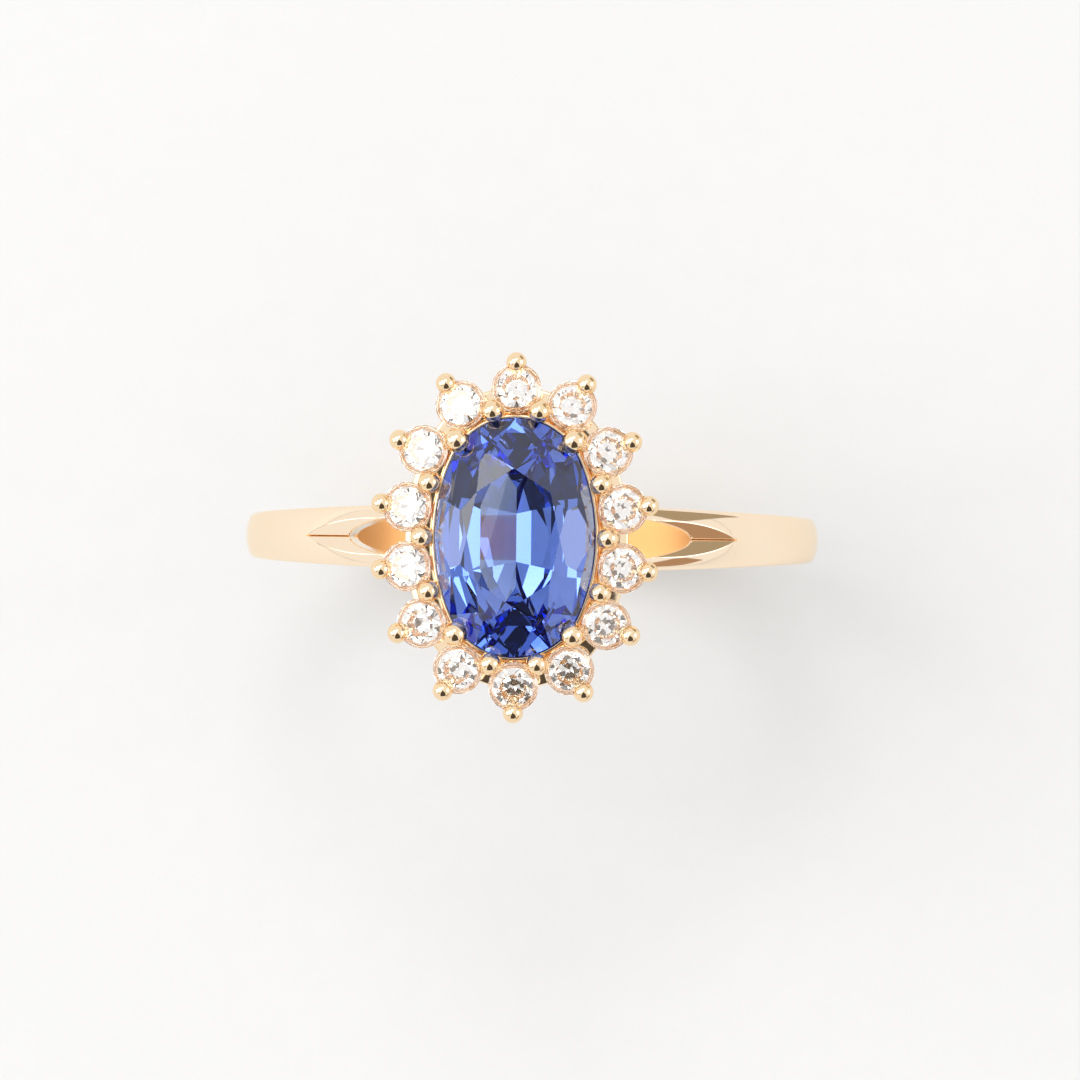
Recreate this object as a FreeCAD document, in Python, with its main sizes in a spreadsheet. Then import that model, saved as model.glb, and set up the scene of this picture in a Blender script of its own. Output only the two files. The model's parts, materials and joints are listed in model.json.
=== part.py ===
import FreeCAD, Part
import math
import os

import Sketcher

# An oval sapphire cluster ring in yellow gold, in millimetres.
# The origin is the centre of the finger hole, +Y runs along the finger and +Z points up to the head.
#
# A tapered, domed shank splits into two shoulders on each side and carries the head.
# The head is an oval basket: a base rail, a stone rail that the centre stone beds on, and a wide halo rail,
# tied together by leaning claws of beaded wire. Fourteen small stones sit in cups on the halo rail.
# Every oval in the head is an offset of one four-arc oval, the girdle of the centre stone.

V = FreeCAD.Vector
UP = V(0, 0, 1)

SIZES = {
    # shank
    "finger_radius": 8.25,
    "shank_radius": 10.1,
    "shank_rise": 0.4,  # the outer circle's centre stands this far above the finger's
    "dome_sag": 0.42,  # how far the domed face falls from its crest to its edge
    "base_half_width": 0.8,
    "head_half_width": 1.14,
    "shoulder_height": 10.0,  # where the shank reaches head_half_width
    "edge_round": 0.3,
    # split in each shoulder: an oval that widens a little as it rises
    "split_half_length": 5.0,
    "split_low": 5.0,
    "split_low_tip": 5.7,
    "split_low_half_width": 0.8,
    "split_high": 11.0,
    "split_high_tip": 6.0,
    "split_high_half_width": 0.95,
    # crease: the V-shaped groove that runs up each shoulder into its split
    "crease_tip": 7.4,
    "crease_rise": 0.57,  # of its bottom line, for each millimetre inwards
    "crease_slope": 0.65,  # of its two sides
    "crease_half_width": 3.0,  # of its cutter, which is wider than the shank
    "crease_run_out": 0.2,  # how far its cutter starts outside the tip
    "crease_length": 5.0,
    # centre stone
    "stone_half_width": 2.7,
    "stone_half_length": 4.03,
    "stone_end_radius": 2.35,
    "stone_level": 11.45,
    "stone_girdle": 0.2,
    "stone_crown": 0.8,
    "stone_table": 0.58,
    # three rows of facets under the centre stone: how far inside the girdle each starts, and its slope
    "girdle_row_inset": 0.0,
    "girdle_row_slope": 52.0,
    "middle_row_inset": 0.6,
    "middle_row_slope": 43.0,
    "keel_row_inset": 1.5,
    "keel_row_slope": 36.0,
    # small stones, on an oval outside the centre stone
    "halo_offset": 1.02,
    "halo_level": 11.3,
    "halo_tilt": 10.0,
    "small_radius": 0.85,
    "small_girdle": 0.05,
    "small_crown": 0.25,
    "small_pavilion": 0.73,
    "small_table": 0.56,
    # rails of the basket: offsets of the girdle oval, and heights
    "base_rail_inner": -0.8,
    "base_rail_outer": -0.32,
    "base_rail_bottom": 8.45,
    "base_rail_height": 0.5,
    "base_rail_bed": 0.06,  # how deep the base rail beds into the shoulders
    "stone_rail_inner": -0.5,
    "stone_rail_outer": 0.04,
    "stone_rail_bottom": 10.72,
    "stone_rail_height": 0.56,
    "stone_rail_lean": 12.0,
    "halo_rail_inner": 0.05,
    "halo_rail_outer": 1.1,
    "halo_rail_bottom": 9.75,
    "halo_rail_height": 0.5,
    "light_hole_radius": 0.25,
    # claws: wires with a bead at the tip
    "side_claw_offset": 0.46,
    "end_claw_offset": 0.37,
    "corner_claw_offset": 0.2,
    "side_claw_top": 11.55,
    "end_claw_top": 11.55,
    "corner_claw_top": 11.6,
    "inner_claw_foot": 8.6,
    "inner_foot_offset": -0.4,
    "inner_wire_radius": 0.27,
    "inner_bead_radius": 0.38,
    "corner_bead_radius": 0.42,
    "outer_claw_offset": 0.88,
    "outer_claw_top": 11.4,
    "outer_claw_foot": 9.85,
    "outer_claw_run": 0.88,
    "outer_wire_radius": 0.23,
    "outer_bead_radius": 0.34,
    # cups under the small stones
    "cup_top": -0.12,
    "cup_bottom": -1.1,
    "cup_top_radius": 0.76,
    "cup_bottom_radius": 0.5,
    "cup_wall": 0.2,
}

HALO_COUNT = 14
CORNER_CLAWS = (1, 5, 8, 12)  # the four claws that lean on the centre stone
END_CLAWS = (0, 6, 7, 13)
FACET_INDEX = 16  # girdle divisions of a brilliant crown or pavilion
STAR_LEVEL = 0.4  # a star facet's plane meets the girdle at this share of the crown's height
UPPER_GIRDLE_STEEPER = 1.22  # than the main facets beside them
LOWER_GIRDLE_STEEPER = 1.05
STEP_ROWS = (("girdle_row", 16, 0.5), ("middle_row", 8, 0.0), ("keel_row", 8, 0.0))  # facets, and their turn
REACH = 40.0  # longer than the ring, for cutting right through it

doc = FreeCAD.newDocument("cluster_ring")
sheet = doc.addObject("Spreadsheet::Sheet", "sizes")
for row, (alias, number) in enumerate(SIZES.items(), start=1):
    sheet.set(f"A{row}", alias)
    sheet.set(f"B{row}", str(number))
    sheet.setAlias(f"B{row}", alias)
doc.recompute()


class Size:
    """A length worked out from the sheet, with the expression that keeps it bound there."""

    def __init__(self, text, value):
        self.text = text
        self.value = value

    def _with(self, sign, other, value):
        text = other.text if isinstance(other, Size) else str(other)
        return Size(f"({self.text} {sign} {text})", value)

    def __add__(self, other):
        return self._with("+", other, self.value + number_of(other))

    def __sub__(self, other):
        return self._with("-", other, self.value - number_of(other))

    def __mul__(self, other):
        return self._with("*", other, self.value * number_of(other))

    def __truediv__(self, other):
        return self._with("/", other, self.value / number_of(other))

    def __neg__(self):
        return Size(f"(-{self.text})", -self.value)


def root(square):
    return Size(f"sqrt({square.text})", math.sqrt(square.value))


def number_of(value):
    return value.value if isinstance(value, Size) else float(value)


def size(alias):
    return Size(f"sizes.{alias}", float(sheet.get(alias)))


def mm(alias):
    """A size as a plain number, for placements and for shapes made of points."""
    return size(alias).value


# ---------------------------------------------------------------- sketches


def origin_plane(body, plane):
    return next(feature for feature in body.Origin.OriginFeatures if feature.Role == plane)


def new_sketch(body, name, plane, offset=None):
    sketch = body.newObject("Sketcher::SketchObject", name)
    sketch.AttachmentSupport = [(origin_plane(body, plane), "")]
    sketch.MapMode = "FlatFace"
    if offset is not None:
        axis, height = offset
        sketch.setExpression(f".AttachmentOffset.Base.{axis}", height.text)
    return sketch


def bind(sketch, kind, parts, length):
    """Adds a dimension and binds it to the sheet."""
    index = sketch.addConstraint(Sketcher.Constraint(kind, *parts, number_of(length)))
    if isinstance(length, Size):
        name = f"size_{index}"
        sketch.renameConstraint(index, name)
        sketch.setExpression(f"Constraints.{name}", length.text)


def pin(sketch, geometry, point, x, y):
    """Fixes a point at x, y, each a Size, or 0 for a point on the axis."""
    for kind, length, axis in (("DistanceX", x, -2), ("DistanceY", y, -1)):
        if isinstance(length, Size):
            bind(sketch, kind, (-1, 1, geometry, point), length)
        else:
            sketch.addConstraint(Sketcher.Constraint("PointOnObject", geometry, point, axis))


def outline(sketch, corners, centre=None, radius=None):
    """A closed outline of straight lines through corners, each (x, y) of Sizes or 0.

    With a centre and a radius, an arc running counter-clockwise closes it instead of the last line."""
    count = len(corners)
    points = [V(number_of(x), number_of(y), 0) for x, y in corners]
    for i in range(count if centre is None else count - 1):
        sketch.addGeometry(Part.LineSegment(points[i], points[(i + 1) % count]))
    if centre is not None:
        middle = V(number_of(centre[0]), number_of(centre[1]), 0)
        spokes = [point - middle for point in (points[-1], points[0])]
        angles = [math.degrees(math.atan2(spoke.y, spoke.x)) for spoke in spokes]
        closing = arc(sketch, (middle.x, middle.y), radius.value, *angles)
        bind(sketch, "Radius", (closing,), radius)
    for i in range(count):
        sketch.addConstraint(Sketcher.Constraint("Coincident", i, 2, (i + 1) % count, 1))
        pin(sketch, i, 1, *corners[i])


def circle(sketch, radius):
    index = sketch.addGeometry(Part.Circle(V(0, 0, 0), UP, radius.value))
    sketch.addConstraint(Sketcher.Constraint("Coincident", index, 3, -1, 1))
    bind(sketch, "Radius", (index,), radius)


def arc(sketch, centre, radius, start, end):
    """An arc from angle start to end, in degrees, running counter-clockwise."""
    round_edge = Part.Circle(V(*centre, 0), UP, radius)
    return sketch.addGeometry(Part.ArcOfCircle(round_edge, math.radians(start), math.radians(end)))


# ---------------------------------------------------------------- the girdle oval and its offsets

half_width = size("stone_half_width")
half_length = size("stone_half_length")
end_radius = size("stone_end_radius")
end_centre = half_length - end_radius
side_radius = (half_width * half_width + half_length * half_length - half_length * end_radius * 2) / (
    (half_width - end_radius) * 2
)
side_centre = side_radius - half_width
END_ANGLE = math.atan2(side_centre.value, end_centre.value)  # half the angle of an end arc
SIDE_ANGLE = math.pi / 2 - END_ANGLE


def oval(sketch, offset):
    """Four tangent arcs: the girdle oval, moved out by offset."""
    end = (end_radius + offset).value
    side = (side_radius + offset).value
    turn = math.degrees(SIDE_ANGLE)
    east = arc(sketch, (-side_centre.value, 0), side, -turn, turn)
    north = arc(sketch, (0, end_centre.value), end, turn, 180 - turn)
    west = arc(sketch, (side_centre.value, 0), side, 180 - turn, 180 + turn)
    south = arc(sketch, (0, -end_centre.value), end, 180 + turn, 360 - turn)
    loop = (east, north, west, south)
    reach = (end_radius + offset) / (side_radius - end_radius)
    across, along = side_centre * reach, end_centre + end_centre * reach
    joints = ((across, along), (-across, along), (-across, -along), (across, -along))
    for here, after, joint in zip(loop, loop[1:] + loop[:1], joints):
        sketch.addConstraint(Sketcher.Constraint("Coincident", here, 2, after, 1))
        pin(sketch, here, 2, *joint)
    bind(sketch, "DistanceX", (-1, 1, east, 3), -side_centre)
    bind(sketch, "DistanceX", (-1, 1, west, 3), side_centre)
    bind(sketch, "DistanceY", (-1, 1, north, 3), end_centre)
    bind(sketch, "DistanceY", (-1, 1, south, 3), -end_centre)


def oval_station(offset, share):
    """The point a share of the way round the offset oval, from +Y towards +X, and its outward normal."""
    end = end_radius.value + offset
    side = side_radius.value + offset
    quarter = end * END_ANGLE + side * SIDE_ANGLE
    along = (share % 1.0) * 4 * quarter
    turned = int(along // quarter)
    run = along - turned * quarter
    if turned % 2:
        run = quarter - run
    if run <= end * END_ANGLE:
        angle = run / end
        normal = V(math.sin(angle), math.cos(angle), 0)
        point = V(0, end_centre.value, 0) + normal * end
    else:
        angle = END_ANGLE + (run - end * END_ANGLE) / side
        normal = V(math.sin(angle), math.cos(angle), 0)
        point = V(-side_centre.value, 0, 0) + normal * side
    flip = V(1 if turned in (0, 1) else -1, 1 if turned in (0, 3) else -1, 1)
    return (
        V(point.x * flip.x, point.y * flip.y, 0),
        V(normal.x * flip.x, normal.y * flip.y, 0),
    )


# ---------------------------------------------------------------- shank


def blank_disc(body):
    """A disc with a domed rim, turned about the shank's own centre."""
    sketch = new_sketch(body, "rim_profile", "YZ_Plane", ("y", size("shank_rise")))
    half, crest, sag = size("head_half_width"), size("shank_radius"), size("dome_sag")
    edge = crest - sag
    dome_radius = (half * half + sag * sag) / (sag * 2)
    corners = ((-half, edge), (-half, 0), (half, 0), (half, edge))
    outline(sketch, corners, (0, crest - dome_radius), dome_radius)
    disc = body.newObject("PartDesign::Revolution", "domed_disc")
    disc.Profile = sketch
    disc.ReferenceAxis = (sketch, ["H_Axis"])
    disc.Angle = 360


def through_pocket(body, name, sketch):
    pocket = body.newObject("PartDesign::Pocket", name)
    pocket.Profile = sketch
    pocket.SideType = "Symmetric"
    pocket.Length = REACH
    return pocket


def finger_hole(body):
    sketch = new_sketch(body, "finger_circle", "XZ_Plane")
    circle(sketch, size("finger_radius"))
    through_pocket(body, "finger_hole", sketch)


def flared_sides(body):
    """Trims both sides: parallel up to the finger's centre, then flaring in an arc towards the head."""
    sketch = new_sketch(body, "side_flare", "YZ_Plane")
    base, head, top = size("base_half_width"), size("head_half_width"), size("shoulder_height")
    outside, under = head * 2, -top * 2
    flare_radius = (top * top + (head - base) * (head - base)) / ((head - base) * 2)
    corners = ((base, 0), (base, under), (outside, under), (outside, top), (head, top))
    outline(sketch, corners, (base + flare_radius, 0), flare_radius)
    flare = through_pocket(body, "side_flare_cut", sketch)
    both = body.newObject("PartDesign::Mirrored", "both_side_flares")
    both.Originals = [flare]
    both.MirrorPlane = (origin_plane(body, "XZ_Plane"), [""])
    body.Tip = both


def rounded_edges(body):
    """Rounds the four long edges between the domed face and the sides."""
    doc.recompute()
    tip = body.Tip
    inner = mm("finger_radius") + 0.5 * (mm("shank_radius") - mm("finger_radius"))
    names = []
    for number, edge in enumerate(tip.Shape.Edges, start=1):
        middle = edge.valueAt((edge.FirstParameter + edge.LastParameter) / 2)
        if edge.Length > 5 and math.hypot(middle.x, middle.z) > inner:
            names.append(f"Edge{number}")
    rounding = body.newObject("PartDesign::Fillet", "edge_rounding")
    rounding.Base = (tip, names)
    rounding.setExpression("Radius", "sizes.edge_round")


def make_shank_blank():
    body = doc.addObject("PartDesign::Body", "shank_blank")
    blank_disc(body)
    finger_hole(body)
    flared_sides(body)
    rounded_edges(body)
    return body


def make_split(side):
    """The opening that parts the shoulder on one side, 1 or -1, into two branches: a leaning oval cone."""
    ovals = []
    for level in ("split_low", "split_high"):
        rim = doc.addObject("Part::Ellipse", f"{level}_rim")
        rim.setExpression("MajorRadius", "sizes.split_half_length")
        rim.setExpression("MinorRadius", f"sizes.{level}_half_width")
        rim.setExpression("Placement.Base.x", f"{side} * (sizes.{level}_tip - sizes.split_half_length)")
        rim.setExpression("Placement.Base.z", f"sizes.{level}")
        ovals.append(rim)
    cone = doc.addObject("Part::Loft", "shoulder_split")
    cone.Sections = ovals
    cone.Solid = True
    cone.Ruled = True
    return cone


def make_crease(side):
    """A cutter for the groove on one side, 1 or -1. Its bottom line leaves the shank's crest at the tip."""
    tip, rise, run_out = mm("crease_tip"), mm("crease_rise"), mm("crease_run_out")
    crest = mm("shank_rise") + math.sqrt(mm("shank_radius") ** 2 - tip**2)
    start = V(side * (tip + run_out), 0, crest - rise * run_out)
    half_width = mm("crease_half_width")
    height = half_width * mm("crease_slope")
    section = doc.addObject("Part::Polygon", "crease_section")
    section.Nodes = [start, start + V(0, half_width, height), start + V(0, -half_width, height)]
    section.Close = True
    groove = doc.addObject("Part::Extrusion", "crease_cutter")
    groove.Base = section
    groove.DirMode = "Custom"
    groove.Dir = V(-side, 0, rise)
    groove.LengthFwd = mm("crease_length") * math.hypot(1, rise)
    groove.Solid = True
    return groove


def make_head_socket():
    """Where the shoulders are cut away for the head: the oval basket, and all above the halo rail's foot."""
    body = doc.addObject("PartDesign::Body", "head_socket")
    sketch = new_sketch(body, "socket_oval", "XY_Plane")
    oval(sketch, size("base_rail_outer") - size("base_rail_bed"))
    well = body.newObject("PartDesign::Pad", "socket_well")
    well.Profile = sketch
    well.Length = REACH / 2
    cover = new_sketch(body, "socket_cover", "XZ_Plane")
    side, low = size("halo_rail_outer") + half_width, size("halo_rail_bottom")
    high = low * 2
    outline(cover, ((-side, low), (side, low), (side, high), (-side, high)))
    slab = body.newObject("PartDesign::Pad", "socket_slab")
    slab.Profile = cover
    slab.SideType = "Symmetric"
    slab.setExpression("Length", "sizes.head_half_width * 4")
    return body


# ---------------------------------------------------------------- rails


def make_rail(name):
    """An oval band between two offsets of the girdle oval. The stone rail opens upwards, to bed the stone."""
    body = doc.addObject("PartDesign::Body", name + "_blank")
    bottom = ("z", size(name + "_bottom"))
    for side, feature in (("outer", "PartDesign::Pad"), ("inner", "PartDesign::Pocket")):
        sketch = new_sketch(body, f"{name}_{side}_oval", "XY_Plane", bottom)
        oval(sketch, size(f"{name}_{side}"))
        wall = body.newObject(feature, f"{name}_{side}_wall")
        wall.Profile = sketch
        wall.setExpression("Length", f"sizes.{name}_height")
        if name == "stone_rail":
            wall.setExpression("TaperAngle", "sizes.stone_rail_lean")
        if feature == "PartDesign::Pocket":
            wall.Reversed = True
    return body


def make_light_holes():
    """One hole through the halo rail under each small stone, drilled along the stone's tipped axis."""
    depth = (size("halo_level") - size("halo_rail_bottom")) * 1.2
    holes = []
    for i in range(HALO_COUNT):
        hole = doc.addObject("Part::Cylinder", f"light_hole_{i + 1:02d}")
        hole.setExpression("Radius", "sizes.light_hole_radius")
        hole.setExpression("Height", depth.text)
        below = FreeCAD.Placement(-UP * depth.value, FreeCAD.Rotation())
        hole.Placement = halo_placement(i).multiply(below)
        holes.append(hole)
    return compound("light_holes", holes)


# ---------------------------------------------------------------- stones


def shave(stone, a, b, c):
    """Cuts one facet: takes off all that lies beyond the plane through a, b and c."""
    normal = (b - a).cross(c - a).normalize()
    if normal.dot(a) < 0:
        normal = -normal
    beyond = Part.makeBox(REACH, REACH, REACH, V(-REACH / 2, -REACH / 2, 0))
    beyond.Placement = FreeCAD.Placement(a, FreeCAD.Rotation(UP, normal))
    return stone.cut(beyond)


def along(rim, share):
    """The run of the girdle's outline at a share of the way round."""
    spread = 0.001
    return rim(share + spread) - rim(share - spread)


def cut_crown(stone, rim, table, crown, girdle):
    """Facets a stone above its girdle: eight main facets with stars, sixteen girdle facets and a table.

    rim(share) is the girdle's outline, which lies across the XY plane."""
    top = UP * (girdle / 2)
    apex = top + UP * crown
    step = 1.0 / FACET_INDEX
    for i in range(0, FACET_INDEX, 2):
        corner, corner_after = rim(i * step) * table + apex, rim((i + 2) * step) * table + apex
        edge = rim(i * step) + top
        stone_edge = rim((i + 1) * step) + top + UP * (crown * STAR_LEVEL)
        stone = shave(stone, edge, edge + along(rim, i * step), corner)
        stone = shave(stone, corner, corner_after, stone_edge)
    for i in range(FACET_INDEX):
        above = rim((i + 0.5) * step) * table + top + UP * (crown * UPPER_GIRDLE_STEEPER)
        stone = shave(stone, rim(i * step) + top, rim((i + 1) * step) + top, above)
    return shave(stone, apex, apex + V(1, 0, 0), apex + V(0, 1, 0))


def cut_brilliant_pavilion(stone, rim, girdle, pavilion):
    """Facets a stone under its girdle: eight main facets that meet in a point, and lower girdle facets."""
    low = UP * (-girdle / 2)
    step = 1.0 / FACET_INDEX
    for i in range(0, FACET_INDEX, 2):
        below = rim(i * step) + low
        stone = shave(stone, below, below + along(rim, i * step), low - UP * pavilion)
    for i in range(FACET_INDEX):
        under = low - UP * (pavilion * LOWER_GIRDLE_STEEPER)
        stone = shave(stone, rim(i * step) + low, rim((i + 1) * step) + low, under)
    return stone


def cut_stepped_pavilion(stone):
    """Facets the centre stone under its girdle in rows, each flatter than the one above, down to a keel."""
    level, inset, slope = -mm("stone_girdle") / 2, 0.0, 0.0
    for row, count, turn in STEP_ROWS:
        level -= (mm(row + "_inset") - inset) * slope
        inset = mm(row + "_inset")
        slope = math.tan(math.radians(mm(row + "_slope")))
        for i in range(count):
            point, normal = oval_station(0.0, (i + turn) / count)
            edge = point - normal * inset + UP * level
            stone = shave(stone, edge, edge + normal.cross(UP), edge - normal - UP * slope)
    return stone


def stone_feature(name, shape, placement):
    stone = doc.addObject("Part::Feature", name)
    stone.Shape = shape
    stone.Placement = placement
    return stone


def make_centre_stone():
    blank = doc.addObject("PartDesign::Body", "centre_stone_blank")
    sketch = new_sketch(blank, "girdle_oval", "XY_Plane")
    oval(sketch, Size("0", 0.0))
    rough = blank.newObject("PartDesign::Pad", "girdle_prism")
    rough.Profile = sketch
    rough.SideType = "Symmetric"
    rough.setExpression("Length", "(sizes.stone_crown + sizes.stone_half_width + sizes.stone_girdle) * 2")
    doc.recompute()
    shape = cut_crown(
        blank.Shape,
        lambda share: oval_station(0.0, share)[0],
        mm("stone_table"),
        mm("stone_crown"),
        mm("stone_girdle"),
    )
    shape = cut_stepped_pavilion(shape)
    level = FreeCAD.Placement(UP * mm("stone_level"), FreeCAD.Rotation())
    return stone_feature("centre_sapphire", shape, level)


def halo_placement(i):
    """Where small stone i sits: its girdle centre, with its table tipped outwards."""
    point, normal = oval_station(mm("halo_offset"), i / HALO_COUNT)
    facing = FreeCAD.Rotation(V(1, 0, 0), normal)
    tipped = FreeCAD.Rotation(V(0, 1, 0), mm("halo_tilt"))
    return FreeCAD.Placement(point + UP * mm("halo_level"), facing * tipped)


def make_small_stones():
    radius, depth = mm("small_radius"), mm("small_crown") + mm("small_pavilion") + mm("small_girdle")
    blank = Part.makeCylinder(radius, 2 * depth, UP * -depth)

    def rim(share):
        angle = 2 * math.pi * share
        return V(math.sin(angle), math.cos(angle), 0) * radius

    shape = cut_crown(blank, rim, mm("small_table"), mm("small_crown"), mm("small_girdle"))
    shape = cut_brilliant_pavilion(shape, rim, mm("small_girdle"), mm("small_pavilion"))
    return [stone_feature(f"halo_diamond_{i + 1:02d}", shape, halo_placement(i)) for i in range(HALO_COUNT)]


# ---------------------------------------------------------------- claws and cups


def beaded_wire(name, kind, wire, bead):
    """A claw, standing on the origin along Z: a round wire with a bead centred at its far end."""
    climb = size(f"{kind}_claw_top") - claw_foot(kind)
    length = root(climb * climb + claw_run(kind) * claw_run(kind))
    body = doc.addObject("PartDesign::Body", name)
    sketch = new_sketch(body, "half_profile", "XZ_Plane")
    shoulder = length - root(bead * bead - wire * wire)
    outline(sketch, ((0, length + bead), (0, 0), (wire, 0), (wire, shoulder)), (0, length), bead)
    turn_about(body, "turned_claw", sketch)
    return body


def turn_about(body, name, sketch):
    turned = body.newObject("PartDesign::Revolution", name)
    turned.Profile = sketch
    turned.ReferenceAxis = (sketch, ["V_Axis"])
    turned.Angle = 360


def claw_foot(kind):
    return size("outer_claw_foot") if kind == "outer" else size("inner_claw_foot")


def claw_run(kind):
    """How far a claw leans outwards between its foot and its bead."""
    if kind == "outer":
        return size("outer_claw_run")
    return size(f"{kind}_claw_offset") - size("inner_foot_offset")


def stand_claw(body, kind, point, normal):
    """Leans a claw outwards along normal, with its bead at point in plan."""
    bead = point + UP * mm(f"{kind}_claw_top")
    foot = point - normal * claw_run(kind).value + UP * claw_foot(kind).value
    body.Placement = FreeCAD.Placement(foot, FreeCAD.Rotation(UP, bead - foot))


def make_inner_claws():
    """The shared claws between the small stones. The four at the corners also lean on the centre stone."""
    claws = []
    for i in range(HALO_COUNT):
        kind = "corner" if i in CORNER_CLAWS else "end" if i in END_CLAWS else "side"
        bead = size("corner_bead_radius") if kind == "corner" else size("inner_bead_radius")
        body = beaded_wire(f"inner_claw_blank_{i + 1:02d}", kind, size("inner_wire_radius"), bead)
        point, normal = oval_station(mm("halo_offset"), (i + 0.5) / HALO_COUNT)
        inward = mm("halo_offset") - mm(f"{kind}_claw_offset")
        stand_claw(body, kind, point - normal * inward, normal)
        claws.append(body)
    return claws


def make_outer_claws():
    """One claw outside each small stone."""
    claws = []
    for i in range(HALO_COUNT):
        wire, bead = size("outer_wire_radius"), size("outer_bead_radius")
        body = beaded_wire(f"outer_claw_blank_{i + 1:02d}", "outer", wire, bead)
        point, normal = oval_station(mm("halo_offset"), i / HALO_COUNT)
        stand_claw(body, "outer", point + normal * mm("outer_claw_offset"), normal)
        claws.append(body)
    return claws


def make_cup(i):
    """A tapered open cup on the axis of small stone i."""
    body = doc.addObject("PartDesign::Body", f"cup_blank_{i + 1:02d}")
    sketch = new_sketch(body, "cup_section", "XZ_Plane")
    wall, low, high = size("cup_wall"), size("cup_bottom"), size("cup_top")
    foot, lip = size("cup_bottom_radius"), size("cup_top_radius")
    outline(sketch, ((foot - wall, low), (foot, low), (lip, high), (lip - wall, high)))
    turn_about(body, "turned_cup", sketch)
    body.Placement = halo_placement(i)
    return body


# ---------------------------------------------------------------- assembly


def compound(name, links):
    group = doc.addObject("Part::Compound", name)
    group.Links = links
    return group


def cut(name, base, tools):
    """base with room cut in it for each of tools."""
    result = doc.addObject("Part::Cut", name)
    result.Base = base
    result.Tool = tools[0] if len(tools) == 1 else compound(name + "_fits", tools)
    return result


def build_ring():
    """Makes every piece. Where two pieces meet, the softer job is the one notched: claws give way to stones,
    rails to claws and stones, cups to all of these, and the shoulders to the head."""
    sapphire = make_centre_stone()
    diamonds = make_small_stones()
    doc.recompute()

    inner, outer = [], []
    for i, blank in enumerate(make_inner_claws()):
        touched = [diamonds[i], diamonds[(i + 1) % HALO_COUNT], sapphire]
        inner.append(cut(f"inner_claw_{i + 1:02d}", blank, touched))
    for i, blank in enumerate(make_outer_claws()):
        outer.append(cut(f"outer_claw_{i + 1:02d}", blank, [diamonds[i]]))

    base_rail = cut("base_rail", make_rail("base_rail"), inner)
    stone_rail = cut("stone_rail", make_rail("stone_rail"), inner + [sapphire])
    halo_rail = cut("halo_rail", make_rail("halo_rail"), inner + outer + [make_light_holes()])

    cups = []
    for i in range(HALO_COUNT):
        around = [diamonds[i], halo_rail, stone_rail, outer[i], inner[i - 1], inner[i]]
        cups.append(cut(f"cup_{i + 1:02d}", make_cup(i), around))
    halo_cups = compound("halo_cups", cups)

    openings = [make_split(1), make_split(-1), make_crease(1), make_crease(-1)]
    shank = cut("shank", make_shank_blank(), openings + [make_head_socket(), base_rail, halo_rail])
    return [shank, base_rail, stone_rail, halo_rail, halo_cups, sapphire] + diamonds + inner + outer


def check(pieces):
    """Stops before anything is written if a feature failed or a piece isn't sound."""
    for item in doc.Objects:
        if "Invalid" in item.State or "Error" in item.State:
            raise RuntimeError(f"{item.Label} failed: {item.State}")
    for piece in pieces:
        shape = piece.Shape
        expected = HALO_COUNT if piece.Label == "halo_cups" else 1
        if shape.isNull() or not shape.isValid() or len(shape.Solids) != expected:
            raise RuntimeError(f"{piece.Label} is not sound: {len(shape.Solids)} solids")
        print(f"{piece.Label:18s} {shape.Volume:9.3f} mm3")


parts = build_ring()
doc.recompute()
check(parts)
os.makedirs("parts", exist_ok=True)
for part in parts:
    part.Shape.exportStep(f"parts/{part.Label}.step")
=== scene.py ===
"""Looks for an oval sapphire cluster ring in yellow gold.

Lengths are in metres in the CAD frame: the finger hole's centre is the origin, +Y runs along the finger and
+Z points up to the head. The shank, rails, cups and claws are rebuilt here as smooth meshes, with rounded
edges. The faceted stones are the CAD's own solids, and get their materials here.
"""

import json
import math

import bmesh
import bpy
from mathutils import Matrix, Quaternion, Vector


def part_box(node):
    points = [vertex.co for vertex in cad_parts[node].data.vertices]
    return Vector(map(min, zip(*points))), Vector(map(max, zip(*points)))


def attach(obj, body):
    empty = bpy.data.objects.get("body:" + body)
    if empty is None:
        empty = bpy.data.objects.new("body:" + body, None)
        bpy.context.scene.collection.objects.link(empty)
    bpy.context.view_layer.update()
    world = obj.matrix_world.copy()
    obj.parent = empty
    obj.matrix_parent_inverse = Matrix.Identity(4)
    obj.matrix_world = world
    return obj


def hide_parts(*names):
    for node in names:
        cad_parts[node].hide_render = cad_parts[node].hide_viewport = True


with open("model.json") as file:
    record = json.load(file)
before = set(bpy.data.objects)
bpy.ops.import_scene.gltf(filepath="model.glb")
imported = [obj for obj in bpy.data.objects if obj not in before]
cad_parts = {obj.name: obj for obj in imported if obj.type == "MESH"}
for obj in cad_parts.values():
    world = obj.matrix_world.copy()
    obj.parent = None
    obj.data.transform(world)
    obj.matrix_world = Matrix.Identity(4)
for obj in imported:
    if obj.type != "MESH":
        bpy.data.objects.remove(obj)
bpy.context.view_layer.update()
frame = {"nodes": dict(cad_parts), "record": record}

MM = 0.001
UP = Vector((0, 0, 1))
MERGE = 1e-7
SNAP = 2e-6  # a point of the shank this close to its mid plane is put on it
CRISP_ANGLE = math.radians(38)  # an edge that bends more than this stays crisp

# ---------------------------------------------------------------- sizes

shank_low, shank_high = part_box("shank")
stone_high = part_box("centre_sapphire")[1]

HALO_COUNT = sum(1 for name in frame["nodes"] if name.startswith("halo_diamond"))
CORNER_CLAWS = (1, 5, 8, 12)  # the four claws that lean on the centre stone
END_CLAWS = (0, 6, 7, 13)

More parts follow.
